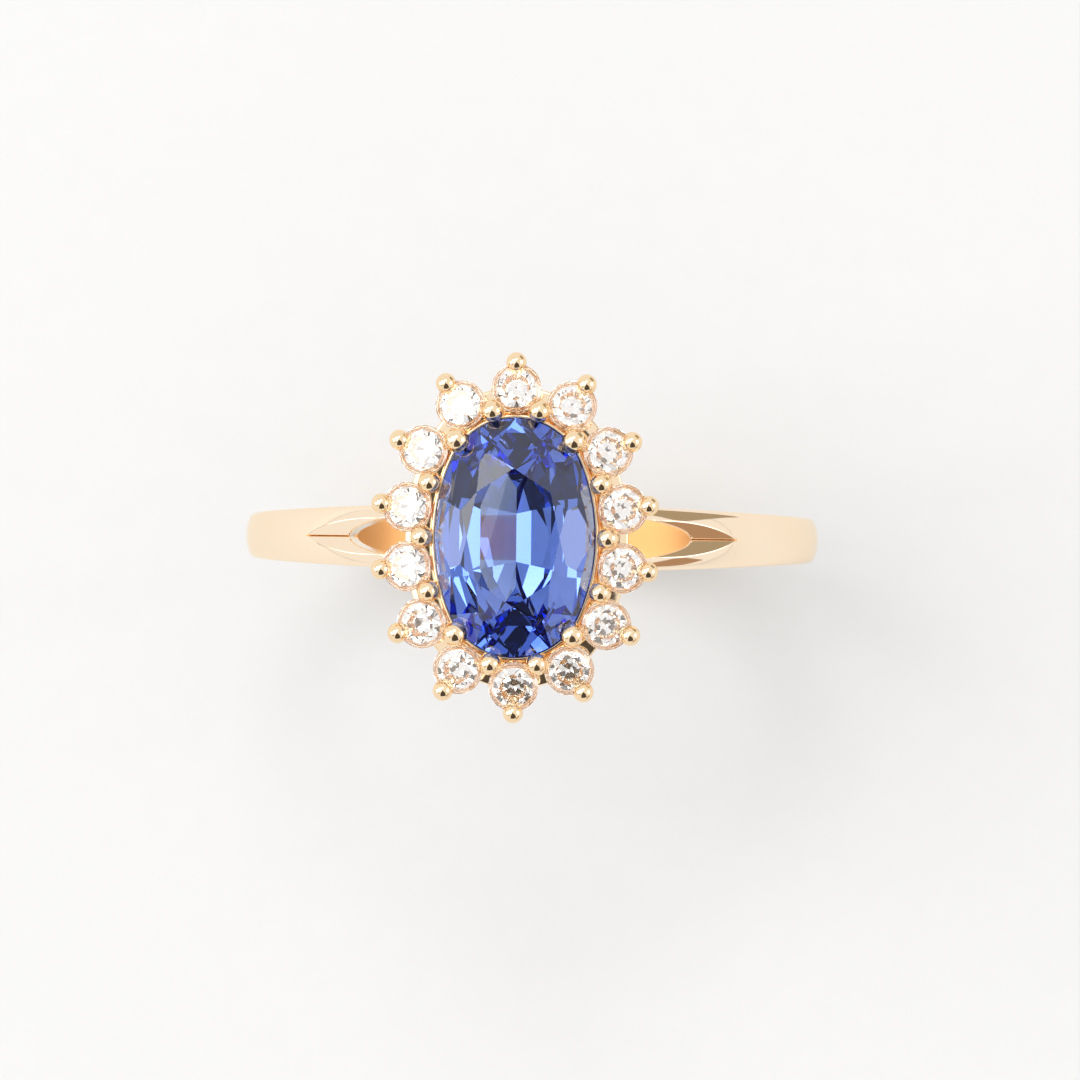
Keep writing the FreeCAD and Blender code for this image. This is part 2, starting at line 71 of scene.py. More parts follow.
FINGER_RADIUS = frame["record"]["mounts"][0]["dims"]["r_mm"] * MM
SHANK_RADIUS = (shank_high.x - shank_low.x) / 2
SHANK_RISE = shank_low.z + SHANK_RADIUS  # how far the outside circle's centre is above the finger's axis
SHANK_TOP = shank_high.z
DOME_SAG = 0.42 * MM
HEAD_HALF_WIDTH = 1.14 * MM
BASE_HALF_WIDTH = 0.8 * MM
SHOULDER_HEIGHT = 10.0 * MM
EDGE_ROUND = 0.3 * MM
INNER_ROUND = 0.12 * MM
SPLIT_HALF_LENGTH = 5.0 * MM
SPLIT_LOW = 5.0 * MM  # the height where the split has the half-width and tip below
SPLIT_HALF_WIDTH, SPLIT_FLARE = 0.8 * MM, 0.025
SPLIT_TIP, SPLIT_LEAN = 5.7 * MM, 0.05
SPLIT_ROUND = 0.05 * MM
CREASE_TIP = 7.4 * MM
CREASE_TIP_HEIGHT = SHANK_RISE + math.sqrt(SHANK_RADIUS**2 - CREASE_TIP**2)
CREASE_RISE, CREASE_SLOPE = 0.57, 0.65  # of its floor, towards the head and to either side
RIDGE_ROUND = 0.022 * MM
CREASE_LINE_DEPTH, CREASE_LINE_WIDTH = 0.06 * MM, 0.035 * MM  # the fine line along the crease's bottom
BRANCH_OVERLAP = 0.08 * MM  # how far the shank's branches run into the base rail

STONE_HALF_WIDTH = stone_high.x
STONE_HALF_LENGTH = stone_high.y
STONE_END_RADIUS = 2.35 * MM

# the rails' sections, in millimetres, as corners of (offset from the girdle oval, height)
BASE_RAIL = [(-0.8, 8.45), (-0.32, 8.45), (-0.32, 8.95), (-0.8, 8.95)]
STONE_RAIL = [(-0.38, 10.72), (0.04, 10.72), (0.16, 11.28), (0.03, 11.28)]
HALO_RAIL = [(0.05, 9.75), (1.1, 9.75), (1.1, 10.25), (0.05, 10.25)]
BASE_RAIL_ROUND, STONE_RAIL_ROUND, HALO_RAIL_ROUND = 0.1 * MM, 0.05 * MM, 0.09 * MM

HALO_OFFSET = 1.02 * MM
HALO_LEVEL = 11.3 * MM
HALO_TILT = math.radians(10)

# heights along a small stone's axis, from its girdle
CUP_TOP, CUP_BOTTOM = -0.12 * MM, -1.06 * MM
LIGHT_HOLE_TOP, LIGHT_HOLE_BOTTOM = -0.7 * MM, -1.9 * MM
LIGHT_HOLE_RADIUS = 0.25 * MM
CUP_LIP_RADIUS, CUP_FOOT_RADIUS, CUP_WALL, CUP_ROUND = 0.76 * MM, 0.5 * MM, 0.2 * MM, 0.05 * MM

INNER_WIRE, INNER_BEAD, CORNER_BEAD = 0.27 * MM, 0.38 * MM, 0.42 * MM
INNER_FOOT_LEVEL, INNER_FOOT_OFFSET = 8.6 * MM, -0.4 * MM
INNER_OFFSETS = {"side": 0.46 * MM, "end": 0.37 * MM, "corner": 0.2 * MM}
INNER_TOPS = {"side": 11.55 * MM, "end": 11.55 * MM, "corner": 11.6 * MM}
OUTER_WIRE, OUTER_BEAD = 0.23 * MM, 0.34 * MM
OUTER_OFFSET, OUTER_TOP, OUTER_FOOT, OUTER_RUN = 0.88 * MM, 11.4 * MM, 9.85 * MM, 0.88 * MM
FOOT_ROUND_SHARE = 0.35  # of the wire's radius
NECK_SHARE = 0.22  # of the ball's radius: the hollow between the wire and the ball

# sides of the round pieces' meshes
HOLE_SIDES, CUP_SIDES, CLAW_SIDES, RAIL_STATIONS = 32, 40, 48, 240

# ---------------------------------------------------------------- the girdle oval and its offsets

END_CENTRE = STONE_HALF_LENGTH - STONE_END_RADIUS
SIDE_RADIUS = (STONE_HALF_WIDTH**2 + STONE_HALF_LENGTH**2 - 2 * STONE_HALF_LENGTH * STONE_END_RADIUS) / (
    2 * (STONE_HALF_WIDTH - STONE_END_RADIUS)
)
SIDE_CENTRE = SIDE_RADIUS - STONE_HALF_WIDTH
END_ANGLE = math.atan2(SIDE_CENTRE, END_CENTRE)
SIDE_ANGLE = math.pi / 2 - END_ANGLE


def oval_station(offset, share):
    """The point a share of the way round the offset oval, from +Y towards +X, and its outward normal."""
    end, side = STONE_END_RADIUS + offset, SIDE_RADIUS + offset
    quarter = end * END_ANGLE + side * SIDE_ANGLE
    along = (share % 1.0) * 4 * quarter
    turned = min(int(along // quarter), 3)
    run = along - turned * quarter
    if turned % 2:
        run = quarter - run
    on_end = run <= end * END_ANGLE
    angle = run / end if on_end else END_ANGLE + (run - end * END_ANGLE) / side
    normal = Vector((math.sin(angle), math.cos(angle), 0))
    centre = Vector((0, END_CENTRE, 0)) if on_end else Vector((-SIDE_CENTRE, 0, 0))
    point = centre + normal * (end if on_end else side)
    flip = Matrix.Diagonal((1 if turned in (0, 1) else -1, 1 if turned in (0, 3) else -1, 1))
    return flip @ point, flip @ normal


def halo_matrix(i):
    """The frame of small stone i: its girdle's centre, with its axis tipped outwards."""
    point, normal = oval_station(HALO_OFFSET, i / HALO_COUNT)
    axis = UP * math.cos(HALO_TILT) + normal * math.sin(HALO_TILT)
    turn = UP.rotation_difference(axis).to_matrix().to_4x4()
    return Matrix.Translation(point + UP * HALO_LEVEL) @ turn


# ---------------------------------------------------------------- mesh helpers


def finish_piece(name, bm, material, nodes):
    """Turns bm into a smooth piece with crisp corners that stands for CAD nodes."""
    bmesh.ops.remove_doubles(bm, verts=bm.verts, dist=MERGE)
    loose = [vert for vert in bm.verts if not vert.link_faces]
    bmesh.ops.delete(bm, geom=loose, context="VERTS")
    bmesh.ops.recalc_face_normals(bm, faces=bm.faces)
    for face in bm.faces:
        face.smooth = True
    for edge in bm.edges:
        edge.smooth = len(edge.link_faces) == 2 and edge.calc_face_angle(0) < CRISP_ANGLE
    mesh = bpy.data.meshes.new(name)
    bm.to_mesh(mesh)
    bm.free()
    mesh.materials.append(material)
    piece = bpy.data.objects.new(name, mesh)
    bpy.context.scene.collection.objects.link(piece)
    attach(piece, "root")
    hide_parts(*nodes)
    return piece


def skin(bm, rows, wrap_rows=False, wrap_points=True):
    """Quads between neighbouring rows of points."""
    grid = [[bm.verts.new(point) for point in row] for row in rows]
    count = len(grid[0])
    pairs = list(zip(grid, grid[1:]))
    if wrap_rows:
        pairs.append((grid[-1], grid[0]))
    for here, there in pairs:
        for i in range(count if wrap_points else count - 1):
            j = (i + 1) % count
            bm.faces.new((here[i], here[j], there[j], there[i]))


def rounded(corners, radius, steps=4):
    """A closed outline with its corners rounded."""
    outline = []
    count = len(corners)
    for i in range(count):
        corner = Vector(corners[i])
        back = (Vector(corners[i - 1]) - corner).normalized()
        ahead = (Vector(corners[(i + 1) % count]) - corner).normalized()
        half = math.acos(max(-1, min(1, back.dot(ahead)))) / 2
        centre = corner + (back + ahead).normalized() * (radius / math.sin(half))
        start = corner + back * (radius / math.tan(half)) - centre
        end = corner + ahead * (radius / math.tan(half)) - centre
        turn = math.atan2(start.x * end.y - start.y * end.x, start.dot(end))
        for step in range(steps + 1):
            spoke = Matrix.Rotation(turn * step / steps, 2) @ start
            outline.append(tuple(centre + spoke))
    return outline


def lathe(bm, profile, matrix, segments, closed):
    """Turns a profile of (radius, height) points about Z. An open profile starts and ends on the axis."""
    rows = []
    for step in range(segments):
        angle = 2 * math.pi * step / segments
        rows.append([matrix @ Vector((r * math.cos(angle), r * math.sin(angle), z)) for r, z in profile])
    skin(bm, rows, wrap_rows=True, wrap_points=closed)


# ---------------------------------------------------------------- materials

# noises: scale per metre, detail, and a squeeze along each axis, which below 1 draws the grain out
CLOUDING = (420, 3, (1, 1, 1))
POLISHING_MARKS = (5200, 4, (0.12, 1, 1))
STONE_POLISH = (2600, 2, (1, 1, 0.2))
PAPER_GRAIN = (900, 4, (1, 1, 1))
CARD_GRAIN = (12, 2, (1, 1, 1))

GOLD_ROUGHNESS = (0.02, 0.09)
MARK_STRENGTH, MARK_DEPTH = 0.03, 0.01 * MM
STONE_ROUGHNESS = (0.0, 0.012)

# painted shade: the finger side's gold colour is deeper and darker, standing in for the shade inside the
# ring; its satin roughness is the real finish
FINGER_SIDE_SHADE_GOLD, SATIN_ROUGHNESS = (0.75, 0.42, 0.17), 0.3
SATIN_AND_SHADE_DEPTH, SATIN_AND_SHADE_FADE = 0.1 * MM, 0.08 * MM  # how far past the finger side its satin finish and painted shade go, and fade over
# painted shade: the fine line along each crease's bottom is coloured darker, standing in for the shade in the
# groove
CREASE_LINE_SHADE_GOLD = (0.62, 0.42, 0.24)
DARK_HALF_WIDTH = 0.8 * CREASE_LINE_WIDTH
LINE_FADE, TIP_FADE, SPLIT_FADE = 0.012 * MM, 0.12 * MM, 0.1 * MM


def new_material(name):
    """A new material, with its nodes, links and shader."""
    material = bpy.data.materials.new(name)
    material.use_nodes = True
    nodes = material.node_tree.nodes
    return material, nodes, material.node_tree.links, nodes["Principled BSDF"]


def noise(nodes, links, kind):
    """Noise in object space, of a kind given as (scale, detail, squeeze)."""
    scale, detail, squeeze = kind
    where = nodes.new("ShaderNodeTexCoord")
    mapping = nodes.new("ShaderNodeMapping")
    mapping.inputs["Scale"].default_value = squeeze
    texture = nodes.new("ShaderNodeTexNoise")
    texture.inputs["Scale"].default_value = scale
    texture.inputs["Detail"].default_value = detail
    links.new(where.outputs["Object"], mapping.inputs["Vector"])
    links.new(mapping.outputs["Vector"], texture.inputs["Vector"])
    return texture.outputs["Fac"]


def blend(nodes, links, mask, low, high):
    """low where mask is 0 and high where it is 1, as numbers or as colours. low may be a socket too."""
    is_colour = isinstance(high, tuple)
    mix = nodes.new("ShaderNodeMix")
    mix.data_type = "RGBA" if is_colour else "FLOAT"
    first, second = (6, 7) if is_colour else (2, 3)
    if isinstance(low, bpy.types.NodeSocket):
        links.new(low, mix.inputs[first])
    else:
        mix.inputs[first].default_value = (*low, 1) if is_colour else low
    mix.inputs[second].default_value = (*high, 1) if is_colour else high
    links.new(mask, mix.inputs[0])
    return mix.outputs[2 if is_colour else 0]


def within(nodes, links, source, limit, soft):
    """1 where source is below limit and 0 where it is above, with a soft change between."""
    step = nodes.new("ShaderNodeMapRange")
    step.interpolation_type = "SMOOTHSTEP"
    step.inputs["From Min"].default_value = limit - soft
    step.inputs["From Max"].default_value = limit + soft
    step.inputs["To Min"].default_value = 1.0
    step.inputs["To Max"].default_value = 0.0
    links.new(source, step.inputs["Value"])
    return step.outputs["Result"]


def calculate(nodes, links, operation, first, second=0.0):
    """Does one operation on a socket and a second socket or number."""
    maths = nodes.new("ShaderNodeMath")
    maths.operation = operation
    links.new(first, maths.inputs[0])
    if isinstance(second, float):
        maths.inputs[1].default_value = second
    else:
        links.new(second, maths.inputs[1])
    return maths.outputs[0]


def finger_side(nodes, links, x, z):
    """1 on the shank's finger side, by the distance from the finger's axis, and 0 elsewhere."""
    across = calculate(nodes, links, "MULTIPLY", x, x)
    up = calculate(nodes, links, "MULTIPLY", z, z)
    square = calculate(nodes, links, "ADD", across, up)
    radius = calculate(nodes, links, "POWER", square, 0.5)
    return within(nodes, links, radius, FINGER_RADIUS + SATIN_AND_SHADE_DEPTH, SATIN_AND_SHADE_FADE)


def crease_line(nodes, links, x, y, z):
    """1 along the fine line in each crease, between the split and the crease's tip, and 0 elsewhere."""
    aside = calculate(nodes, links, "ABSOLUTE", x)
    off_centre = calculate(nodes, links, "ABSOLUTE", y)
    inward = calculate(nodes, links, "MULTIPLY", aside, -1.0)
    down = calculate(nodes, links, "MULTIPLY", z, -1.0)
    on_line = within(nodes, links, off_centre, DARK_HALF_WIDTH, LINE_FADE)
    before_tip = within(nodes, links, aside, CREASE_TIP - TIP_FADE / 2, TIP_FADE)
    past_split = within(nodes, links, inward, -SPLIT_TIP, SPLIT_FADE)
    on_top = within(nodes, links, down, -SPLIT_LOW, SPLIT_FADE)
    line = calculate(nodes, links, "MULTIPLY", on_line, before_tip)
    stretch = calculate(nodes, links, "MULTIPLY", past_split, on_top)
    return calculate(nodes, links, "MULTIPLY", line, stretch)


def yellow_gold(name, deep, pale, grazing, is_shank=False):
    """Polished 18 carat gold: mirror-bright, with faint clouding and hairline polishing marks.

    The shank's finger side is satin, with painted shade: its colour is deeper and darker. The fine lines in
    its creases get painted shade too, a darker colour."""
    material, nodes, links, shader = new_material(name)
    shader.inputs["Metallic"].default_value = 1.0
    shader.inputs["Specular Tint"].default_value = (*grazing, 1)
    clouds = noise(nodes, links, CLOUDING)
    tint = blend(nodes, links, clouds, deep, pale)
    marks = noise(nodes, links, POLISHING_MARKS)
    roughness = blend(nodes, links, marks, *GOLD_ROUGHNESS)
    if is_shank:
        where = nodes.new("ShaderNodeTexCoord")
        parts = nodes.new("ShaderNodeSeparateXYZ")
        links.new(where.outputs["Object"], parts.inputs[0])
        x, y, z = parts.outputs
        inside = finger_side(nodes, links, x, z)
        # painted shade: the finger side gets a deeper, darker gold colour
        tint = blend(nodes, links, inside, tint, FINGER_SIDE_SHADE_GOLD)
        # painted shade: the creases' fine lines get a darker gold colour
        tint = blend(nodes, links, crease_line(nodes, links, x, y, z), tint, CREASE_LINE_SHADE_GOLD)
        roughness = blend(nodes, links, inside, roughness, SATIN_ROUGHNESS)
    links.new(tint, shader.inputs["Base Color"])
    links.new(roughness, shader.inputs["Roughness"])
    bump = nodes.new("ShaderNodeBump")
    bump.inputs["Strength"].default_value = MARK_STRENGTH
    bump.inputs["Distance"].default_value = MARK_DEPTH
    links.new(marks, bump.inputs["Height"])
    links.new(bump.outputs["Normal"], shader.inputs["Normal"])
    return material


def gem(name, index, tint, deeper, absorbed=None):
    """A clear polished stone. absorbed is what it takes out of white light, per metre, in each colour."""
    material, nodes, links, shader = new_material(name)
    shader.inputs["Transmission Weight"].default_value = 1.0
    shader.inputs["IOR"].default_value = index
    polish = noise(nodes, links, STONE_POLISH)
    links.new(blend(nodes, links, polish, tint, deeper), shader.inputs["Base Color"])
    links.new(blend(nodes, links, polish, *STONE_ROUGHNESS), shader.inputs["Roughness"])
    if absorbed:
        density = max(absorbed) * 1.05  # the node's colour stays above 0
        volume = nodes.new("ShaderNodeVolumeAbsorption")
        volume.inputs["Color"].default_value = (*[1 - share / density for share in absorbed], 1)
        volume.inputs["Density"].default_value = density
        links.new(volume.outputs["Volume"], nodes["Material Output"].inputs["Volume"])
    return material


# One gold in four tones. The band's is paler, a painted highlight standing in for its bright light washing
# the colour out. The seats' is palest, so that the small stones' reflections of them come out whiter, a
# painted reflection. The rails' and the claws' are deeper.
BAND_GOLD = yellow_gold("band_gold", (1.0, 0.81, 0.60), (1.0, 0.84, 0.66), (1.0, 0.95, 0.86), is_shank=True)
RAIL_GOLD = yellow_gold("rail_gold", (0.98, 0.77, 0.52), (0.99, 0.80, 0.57), (1.0, 0.92, 0.78))
SEAT_GOLD = yellow_gold("seat_gold", (1.0, 0.87, 0.73), (1.0, 0.89, 0.77), (1.0, 0.96, 0.90))
CLAW_GOLD = yellow_gold("claw_gold", (0.96, 0.73, 0.46), (0.97, 0.76, 0.51), (1.0, 0.88, 0.70))
SAPPHIRE = gem("sapphire", 1.77, (1.0, 1.0, 1.0), (0.97, 0.98, 1.0), (275, 200, 48))
DIAMOND = gem("diamond", 2.417, (1.0, 1.0, 1.0), (0.985, 0.99, 1.0))

# ---------------------------------------------------------------- shank


def half_width_at(z):
    """Half the shank's width at a height, which flares towards the head."""
    flare = (HEAD_HALF_WIDTH - BASE_HALF_WIDTH) * (max(z, 0) / SHOULDER_HEIGHT) ** 2
    return BASE_HALF_WIDTH + flare


def split_at(angle, radius):
    """Half the split's width at a point of the shank, or 0 past its tip."""
    x, z = radius * math.sin(angle), radius * math.cos(angle)
    if z < SPLIT_LOW:
        return 0.0
    tip = SPLIT_TIP + (z - SPLIT_LOW) * SPLIT_LEAN
    widest = SPLIT_HALF_WIDTH + (z - SPLIT_LOW) * SPLIT_FLARE
    return widest * math.sqrt(max(0.0, 1 - ((x - tip) / SPLIT_HALF_LENGTH + 1) ** 2))


def split_reach(angle):
    """How far from the finger's axis the split reaches at this angle, where its tip line crosses it."""
    return (SPLIT_TIP - SPLIT_LOW * SPLIT_LEAN) / (math.sin(angle) - SPLIT_LEAN * math.cos(angle))


class Section:
    """Half a cross-section of the shank at one angle from the head, as radii over the half-width y."""

    def __init__(self, angle):
        self.angle = angle
        self.half = half_width_at(SHANK_RADIUS * math.cos(angle))
        self.inner_half = half_width_at(FINGER_RADIUS * math.cos(angle))
        self.dome = (HEAD_HALF_WIDTH**2 + DOME_SAG**2) / (2 * DOME_SAG)
        self.centre = SHANK_RADIUS - self.dome

    def from_axis(self, radius):
        """The distance from the finger's axis of a point at radius from the shank's own centre."""
        across = SHANK_RISE * math.sin(self.angle)
        return SHANK_RISE * math.cos(self.angle) + math.sqrt(radius**2 - across**2)

    def domed(self, y):
        """How far from the finger's axis the dome is at y."""
        return self.from_axis(self.centre + math.sqrt(self.dome**2 - y**2))

    def creased(self, y):
        """How far from the finger's axis the crease's floor is at y, with the fine line along its middle."""
        line = CREASE_LINE_DEPTH * max(0.0, 1 - y / CREASE_LINE_WIDTH) ** 1.5
        rise = CREASE_TIP_HEIGHT + CREASE_RISE * CREASE_TIP + CREASE_SLOPE * y - line
        along = math.cos(self.angle) + CREASE_RISE * math.sin(self.angle)
        return rise / along if along > 0 else math.inf

    def top(self, y):
        """The surface at y: the dome, or the crease where that is lower."""
        return min(self.domed(y), self.creased(y))

    def ridge(self, widest):
        """Where the crease meets the dome: its half-width, or 0 past the crease's tip."""
        if self.creased(0) >= self.domed(0):
            return 0.0
        low, high = 0.0, widest
        for _ in range(40):
            middle = (low + high) / 2
            if self.creased(middle) < self.domed(middle):
                low = middle
            else:
                high = middle
        return low

    def rim(self):
        """The split's half-width where it comes out at the top, or 0 if it doesn't."""
        y = split_at(self.angle, self.top(0))
        for _ in range(6):
            y = split_at(self.angle, self.top(y))
        return y


def arc_points(start, corner, end, steps):
    """A soft bend from start to end, drawn towards corner. It leaves out start."""
    points = []
    for step in range(1, steps + 1):
        t = step / steps
        point = [(1 - t) ** 2 * a + 2 * t * (1 - t) * b + t**2 * c for a, b, c in zip(start, corner, end)]
        points.append(tuple(point))
    return points


def shank_section(angle):
    """Half a cross-section as a closed run of points (y, distance from the finger's axis).

    It goes along the finger side, out round the edge, in over the dome, down the crease and back down the
    split's wall."""
    section = Section(angle)
    half, inner_half, dome = section.half, section.inner_half, section.dome
    hole = split_at(angle, FINGER_RADIUS)
    hole_soft = min(SPLIT_ROUND, hole / 3)
    points = []
    for step in range(7):
        share = step / 6
        points.append(((hole + hole_soft) * (1 - share) + (inner_half - INNER_ROUND) * share, FINGER_RADIUS))
    corner = (inner_half, FINGER_RADIUS)
    points += arc_points(points[-1], corner, (inner_half, FINGER_RADIUS + INNER_ROUND), 5)

    fillet_height = section.centre + math.sqrt((dome - EDGE_ROUND) ** 2 - (half - EDGE_ROUND) ** 2)
    lean = math.atan2(fillet_height - section.centre, half - EDGE_ROUND)
    for step in range(9):
        turn = lean * step / 8
        y = half - EDGE_ROUND * (1 - math.cos(turn))
        points.append((y, section.from_axis(fillet_height + EDGE_ROUND * math.sin(turn))))

    widest = points[-1][0]
    rim = section.rim()
    rim_soft = min(SPLIT_ROUND, rim / 3)
    ridge = max(section.ridge(widest - 2 * RIDGE_ROUND), rim + rim_soft)
    ridge_soft = min(RIDGE_ROUND, (ridge - rim - rim_soft) / 3)
    for step in range(1, 13):
        y = widest + (ridge + ridge_soft - widest) * step / 12
        points.append((y, section.domed(y)))
    below = ridge - ridge_soft
    points += arc_points(points[-1], (ridge, section.top(ridge)), (below, section.top(below)), 3)
    for step in range(1, 17):
        y = below + (rim + rim_soft - below) * (1 - (1 - step / 16) ** 1.8)
        points.append((y, section.top(y)))
    crest = section.top(rim)
    if rim > 0:
        wall_top = crest - rim_soft
        wall_half = split_at(angle, wall_top)
    else:
        wall_top = min(max(split_reach(angle), FINGER_RADIUS), crest)
        wall_half = 0.0
    points += arc_points(points[-1], (rim, crest), (wall_half, wall_top), 4)
    wall_bottom = FINGER_RADIUS + hole_soft
    for step in range(1, 13):
        depth = wall_top + (wall_bottom - wall_top) * step / 12
        points.append((split_at(angle, depth), depth))
    points += arc_points(points[-1], (hole, FINGER_RADIUS), (hole + hole_soft, FINGER_RADIUS), 4)
    return points


def shank_angles():
    """Sections from inside the head round to the base. They crowd in where the split and the crease end."""
    head_end, split_end = math.radians(11), math.radians(45.5)
    crease_end = math.atan2(CREASE_TIP, CREASE_TIP_HEIGHT)
    to_split, to_crease, to_base = 150, 12, 110
    angles = [head_end + (split_end - head_end) * step / to_split for step in range(to_split + 1)]
    angles += [split_end + (crease_end - split_end) * step / to_crease for step in range(1, to_crease + 1)]
    rest = math.pi - crease_end
    angles += [crease_end + rest * (step / to_base) ** 1.4 for step in range(1, to_base + 1)]
    return angles


def build_shank():
    """The band, as four mirrored quarters, trimmed at the base rail and at the height of its shoulders."""
    angles = shank_angles()
    sections = [shank_section(angle) for angle in angles]
    bm = bmesh.new()
    for x_side in (1, -1):
        for y_side in (1, -1):
            columns = []
            for angle, points in zip(angles, sections):
                out = Vector((math.sin(angle) * x_side, 0, math.cos(angle)))
                column = []
                for y, reach in points:
                    aside = y * y_side if y > SNAP else 0.0
                    column.append(bm.verts.new(out * reach + Vector((0, aside, 0))))
                columns.append(column)
            for here, there in zip(columns, columns[1:]):
                for i in range(len(here)):
                    j = (i + 1) % len(here)
                    corners = (here[i], here[j], there[j], there[i])
                    if any(corner.co.y for corner in corners):
                        bm.faces.new(corners)
    bmesh.ops.remove_doubles(bm, verts=bm.verts, dist=MERGE)
    bmesh.ops.dissolve_degenerate(bm, edges=bm.edges, dist=MERGE)
    head_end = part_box("base_rail")[1].x - BRANCH_OVERLAP
    slice_off(bm, (head_end, 0, 0), (-1, 0, 0), 1)
    slice_off(bm, (-head_end, 0, 0), (1, 0, 0), -1)
    slice_off(bm, (0, 0, SHANK_TOP), (0, 0, 1), 0)
    finish_piece("shank_gold", bm, BAND_GOLD, ["shank"])


def beside_head(face, side):
    """Whether a face is above the finger hole's centre, and on the given side where side is 1 or -1."""
    centre = face.calc_center_median()
    return centre.z > 0 and centre.x * side >= 0


def slice_off(bm, point, outward, side):
    """Cuts off what lies beyond a plane in the upper half, on one side if side is 1 or -1. Closes the cut."""
    faces = [f for f in bm.faces if beside_head(f, side)]
    edges = dict.fromkeys(e for f in faces for e in f.edges)  # a set's order would change from run to run
    verts = dict.fromkeys(v for f in faces for v in f.verts)
    cut = bmesh.ops.bisect_plane(
        bm,
        geom=[*verts, *edges, *faces],
        dist=MERGE,
        plane_co=point,
        plane_no=outward,
        clear_outer=True,
    )
    rim = [e for e in cut["geom_cut"] if isinstance(e, bmesh.types.BMEdge) and e.is_valid and e.is_boundary]
    bmesh.ops.holes_fill(bm, edges=rim, sides=0)


# ---------------------------------------------------------------- rails and cups


def build_rail(name, corners, edge_round):
    """An oval band with the given section."""
    profile = rounded([(offset * MM, height * MM) for offset, height in corners], edge_round)
    rows = []
    for step in range(RAIL_STATIONS):
        point, normal = oval_station(0.0, step / RAIL_STATIONS)
        rows.append([point + normal * offset + UP * height for offset, height in profile])
    bm = bmesh.new()
    skin(bm, rows, wrap_rows=True)
    return finish_piece(name + "_gold", bm, RAIL_GOLD, [name])


def drill_light_holes(rail):
    """A round hole through the halo rail under each small stone, along its tipped axis."""
    radius, low, high = LIGHT_HOLE_RADIUS, LIGHT_HOLE_BOTTOM, LIGHT_HOLE_TOP
    profile = [(0, low), (radius, low), (radius, high), (0, high)]
    bm = bmesh.new()
    for i in range(HALO_COUNT):
        lathe(bm, profile, halo_matrix(i), HOLE_SIDES, closed=False)
    bmesh.ops.remove_doubles(bm, verts=bm.verts, dist=MERGE)
    bmesh.ops.recalc_face_normals(bm, faces=bm.faces)
    mesh = bpy.data.meshes.new("drills")
    bm.to_mesh(mesh)
    bm.free()
    subtract(rail, mesh)


def subtract(piece, mesh):
    """Takes the solid in mesh out of a piece for good."""
    tool = bpy.data.objects.new("tool", mesh)
    bpy.context.scene.collection.objects.link(tool)
    cut = piece.modifiers.new("cut", "BOOLEAN")
    cut.operation = "DIFFERENCE"
    cut.solver = "EXACT"
    cut.object = tool
    graph = bpy.context.evaluated_depsgraph_get()
    result = bpy.data.meshes.new_from_object(piece.evaluated_get(graph), depsgraph=graph)
    piece.modifiers.clear()
    old = piece.data
    piece.data = result
    result.name = piece.name
    bpy.data.meshes.remove(old)
    bpy.data.objects.remove(tool)
    bpy.data.meshes.remove(mesh)


def build_cups():
    """Tapered seats under the small stones."""
    lip, foot = CUP_LIP_RADIUS, CUP_FOOT_RADIUS
    corners = [(foot - CUP_WALL, CUP_BOTTOM), (foot, CUP_BOTTOM), (lip, CUP_TOP), (lip - CUP_WALL, CUP_TOP)]
    profile = rounded(corners, CUP_ROUND)
    bm = bmesh.new()
    for i in range(HALO_COUNT):
        lathe(bm, profile, halo_matrix(i), CUP_SIDES, closed=True)
    finish_piece("halo_cups_gold", bm, SEAT_GOLD, ["halo_cups"])


def build_rails():
    """The three ovals of the basket."""
    build_rail("base_rail", BASE_RAIL, BASE_RAIL_ROUND)
    build_rail("stone_rail", STONE_RAIL, STONE_RAIL_ROUND)
    drill_light_holes(build_rail("halo_rail", HALO_RAIL, HALO_RAIL_ROUND))


# ---------------------------------------------------------------- claws


def claw_profile(wire, bead, length):
    """A round wire with a rounded foot, a soft neck and a ball at its tip."""
    foot_round = wire * FOOT_ROUND_SHARE
    profile = [(0, 0)]
    for step in range(5):
        turn = math.pi / 2 * step / 4
        profile.append((wire - foot_round * (1 - math.sin(turn)), foot_round * (1 - math.cos(turn))))
    neck = bead * NECK_SHARE
    neck_height = length - math.sqrt((bead + neck) ** 2 - (wire + neck) ** 2)
    lean = math.atan2(length - neck_height, wire + neck)
    for step in range(5):
        turn = lean * step / 4
        profile.append((wire + neck * (1 - math.cos(turn)), neck_height + neck * math.sin(turn)))
    rings = 18
    for step in range(1, rings):
        turn = -lean + (math.pi / 2 + lean) * step / rings
        profile.append((bead * math.cos(turn), length + bead * math.sin(turn)))
    profile.append((0, length + bead))
    return profile


def build_claw(node, foot, tip, wire, bead):
    """A claw from its foot to the middle of the ball at its tip."""
    axis = tip - foot
    matrix = Matrix.Translation(foot) @ UP.rotation_difference(axis).to_matrix().to_4x4()
    bm = bmesh.new()
    lathe(bm, claw_profile(wire, bead, axis.length), matrix, CLAW_SIDES, closed=False)
    finish_piece(node + "_gold", bm, CLAW_GOLD, [node])


